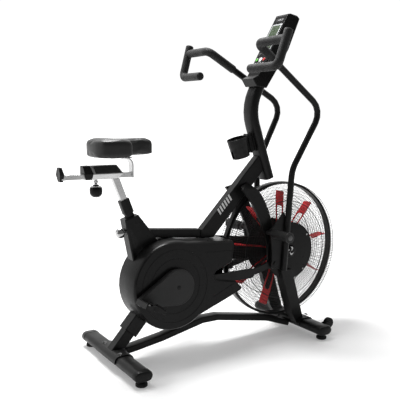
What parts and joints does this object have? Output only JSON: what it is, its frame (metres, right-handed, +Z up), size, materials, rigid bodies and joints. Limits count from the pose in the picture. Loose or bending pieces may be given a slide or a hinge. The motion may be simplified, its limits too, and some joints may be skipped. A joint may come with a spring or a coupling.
{
  "type": "air bike",
  "caption": "Upright fan-resisted exercise bicycle with swinging arms, adjustable saddle, console on a curved mast and caged fan wheel.",
  "frame": {"origin": "on the floor, under the middle of the machine's bounding box", "axes": "+X forward towards the fan, +Y the rider's left, +Z up"},
  "size_m": [1.471, 0.709, 1.557],
  "materials": {
    "frame_black": "matte black powder coat",
    "shell_black": "fine-textured dark charcoal moulding",
    "cap_black": "matte black moulding",
    "foam_grey": "soft dark grey foam",
    "vinyl_black": "black vinyl, softly shining",
    "silver": "satin silver",
    "chrome": "polished",
    "wire_grey": "light grey coated wire",
    "blade_red": "satin red",
    "rubber_black": "black rubber",
    "belt_black": "black rubber belt",
    "screen_black": "gloss black face",
    "button_green": "green key",
    "button_white": "white key",
    "button_red": "red key"
  },
  "bodies": {
    "frame": {"rear_stabilizer": "frame_black", "rear_leg": "frame_black", "lower_shroud": "shell_black", "front_stabilizer": "frame_black", "base_rail": "frame_black", "seat_tube": "frame_black", "clamp_sleeve": "cap_black", "top_tube": "frame_black", "diagonal_tube": "frame_black", "mast": "frame_black", "fork_right": "frame_black", "fork_left": "frame_black", "leg_right": "frame_black", "leg_left": "frame_black", "housing_right": "shell_black", "housing_left": "shell_black", "belt_guard": "shell_black", "seat_shroud": "shell_black", "cage_right": "wire_grey", "cage_left": "wire_grey", "fan_hoop": "frame_black", "hub_cover_right": "shell_black", "hub_cover_left": "shell_black", "fan_axle": "silver", "console_housing": "shell_black", "console_screen": "screen_black", "bottle_holder": "cap_black", "foot_peg_right": "cap_black", "foot_peg_left": "cap_black", "drive_belt_1": "belt_black", "drive_belt_2": "belt_black"},
    "crankset": {"crank_pulley": "cap_black", "crank_right": "cap_black", "crank_left": "cap_black"},
    "jack": {"jack_pulley": "cap_black"},
    "fan": {"fan_rotor": "blade_red"},
    "pedal_right": {"pedal_right": "cap_black"},
    "pedal_left": {"pedal_left": "cap_black"},
    "arm_right": {"arm_right": "frame_black", "grip_right": "foam_grey"},
    "arm_left": {"arm_left": "frame_black", "grip_left": "foam_grey"},
    "pushrod_right": {"pushrod_right": "frame_black"},
    "pushrod_left": {"pushrod_left": "frame_black"},
    "seat_support": {"seat_post": "silver", "seat_guide": "silver"},
    "seat_slider": {"slider_tube": "silver", "saddle_neck": "cap_black", "saddle": "vinyl_black"},
    "ball_knob": {"ball_knob": "cap_black"},
    "pop_pin": {"pop_pin": "chrome"},
    "wheel_right": {"wheel_right": "cap_black"},
    "wheel_left": {"wheel_left": "cap_black"},
    "rear_foot_right": {"rear_foot_right": "rubber_black"},
    "rear_foot_left": {"rear_foot_left": "rubber_black"},
    "front_foot_right": {"front_foot_right": "rubber_black"},
    "front_foot_left": {"front_foot_left": "rubber_black"},
    "button_green": {"button_green": "button_green"},
    "button_white": {"button_white": "button_white"},
    "button_red": {"button_red": "button_red"}
  },
  "joints": [
    {"name": "crank_spin", "type": "hinge", "parent": "frame", "child": "crankset", "pos_m": [-0.259, 0, 0.34], "axis": [0, 1, 0], "continuous": true},
    {"name": "jack_spin", "type": "hinge", "parent": "frame", "child": "jack", "pos_m": [-0.015, 0, 0.455], "axis": [0, 1, 0], "continuous": true},
    {"name": "fan_spin", "type": "hinge", "parent": "frame", "child": "fan", "pos_m": [0.399, 0, 0.418], "axis": [0, 1, 0], "continuous": true},
    {"name": "pedal_right_spin", "type": "hinge", "parent": "crankset", "child": "pedal_right", "pos_m": [-0.42395, -0.2, 0.29887], "axis": [0, 1, 0], "continuous": true},
    {"name": "pedal_left_spin", "type": "hinge", "parent": "crankset", "child": "pedal_left", "pos_m": [-0.09405, 0.2, 0.38113], "axis": [0, 1, 0], "continuous": true},
    {"name": "arm_right_swing", "type": "hinge", "parent": "frame", "child": "arm_right", "pos_m": [0.263, -0.1205, 0.522], "axis": [0, 1, 0], "range_deg": [-14.6, 9.4]},
    {"name": "arm_left_swing", "type": "hinge", "parent": "frame", "child": "arm_left", "pos_m": [0.263, 0.1205, 0.522], "axis": [0, 1, 0], "range_deg": [-9.4, 14.6]},
    {"name": "pushrod_right_pin", "type": "hinge", "parent": "arm_right", "child": "pushrod_right", "pos_m": [0.288, -0.0955, 0.372], "axis": [0, 1, 0], "range_deg": [-9.4, 14.6]},
    {"name": "pushrod_left_pin", "type": "hinge", "parent": "arm_left", "child": "pushrod_left", "pos_m": [0.30149, 0.0955, 0.37488], "axis": [0, 1, 0], "range_deg": [-14.6, 9.4]},
    {"name": "seat_height", "type": "slide", "parent": "frame", "child": "seat_support", "axis": [-0.3584, 0, 0.9336], "range_m": [-0.07, 0.06]},
    {"name": "seat_fore_aft", "type": "slide", "parent": "seat_support", "child": "seat_slider", "axis": [1, 0, 0], "range_m": [-0.03, 0.075]},
    {"name": "ball_knob_turn", "type": "hinge", "parent": "seat_support", "child": "ball_knob", "pos_m": [-0.574, 0, 0.765], "axis": [0, 0, 1], "range_deg": [-180, 180]},
    {"name": "pop_pin_pull", "type": "slide", "parent": "frame", "child": "pop_pin", "axis": [-0.9336, 0, -0.3584], "range_m": [0, 0.008], "stiffness_N_per_m": 400},
    {"name": "wheel_right_spin", "type": "hinge", "parent": "frame", "child": "wheel_right", "pos_m": [0.5525, -0.205, 0.06], "axis": [0, 1, 0], "continuous": true},
    {"name": "wheel_left_spin", "type": "hinge", "parent": "frame", "child": "wheel_left", "pos_m": [0.5525, 0.205, 0.06], "axis": [0, 1, 0], "continuous": true},
    {"name": "rear_foot_right_screw", "type": "slide", "parent": "frame", "child": "rear_foot_right", "axis": [0, 0, -1], "range_m": [0, 0.01]},
    {"name": "rear_foot_left_screw", "type": "slide", "parent": "frame", "child": "rear_foot_left", "axis": [0, 0, -1], "range_m": [0, 0.01]},
    {"name": "front_foot_right_screw", "type": "slide", "parent": "frame", "child": "front_foot_right", "axis": [0, 0, -1], "range_m": [0, 0.01]},
    {"name": "front_foot_left_screw", "type": "slide", "parent": "frame", "child": "front_foot_left", "axis": [0, 0, -1], "range_m": [0, 0.01]},
    {"name": "button_green_press", "type": "slide", "parent": "frame", "child": "button_green", "axis": [0.8635, 0, -0.5043], "range_m": [0, 0.0018], "stiffness_N_per_m": 300},
    {"name": "button_white_press", "type": "slide", "parent": "frame", "child": "button_white", "axis": [0.8635, 0, -0.5043], "range_m": [0, 0.0018], "stiffness_N_per_m": 300},
    {"name": "button_red_press", "type": "slide", "parent": "frame", "child": "button_red", "axis": [0.8635, 0, -0.5043], "range_m": [0, 0.0018], "stiffness_N_per_m": 300}
  ],
  "couplings": [
    {"joint": "jack_spin", "follows": "crank_spin", "ratio": 3.8636},
    {"joint": "fan_spin", "follows": "crank_spin", "ratio": 7.9029},
    {"joint": "arm_left_swing", "follows": "arm_right_swing", "ratio": -1},
    {"joint": "pushrod_right_pin", "follows": "arm_right_swing", "ratio": -1},
    {"joint": "pushrod_left_pin", "follows": "arm_right_swing", "ratio": 1}
  ]
}
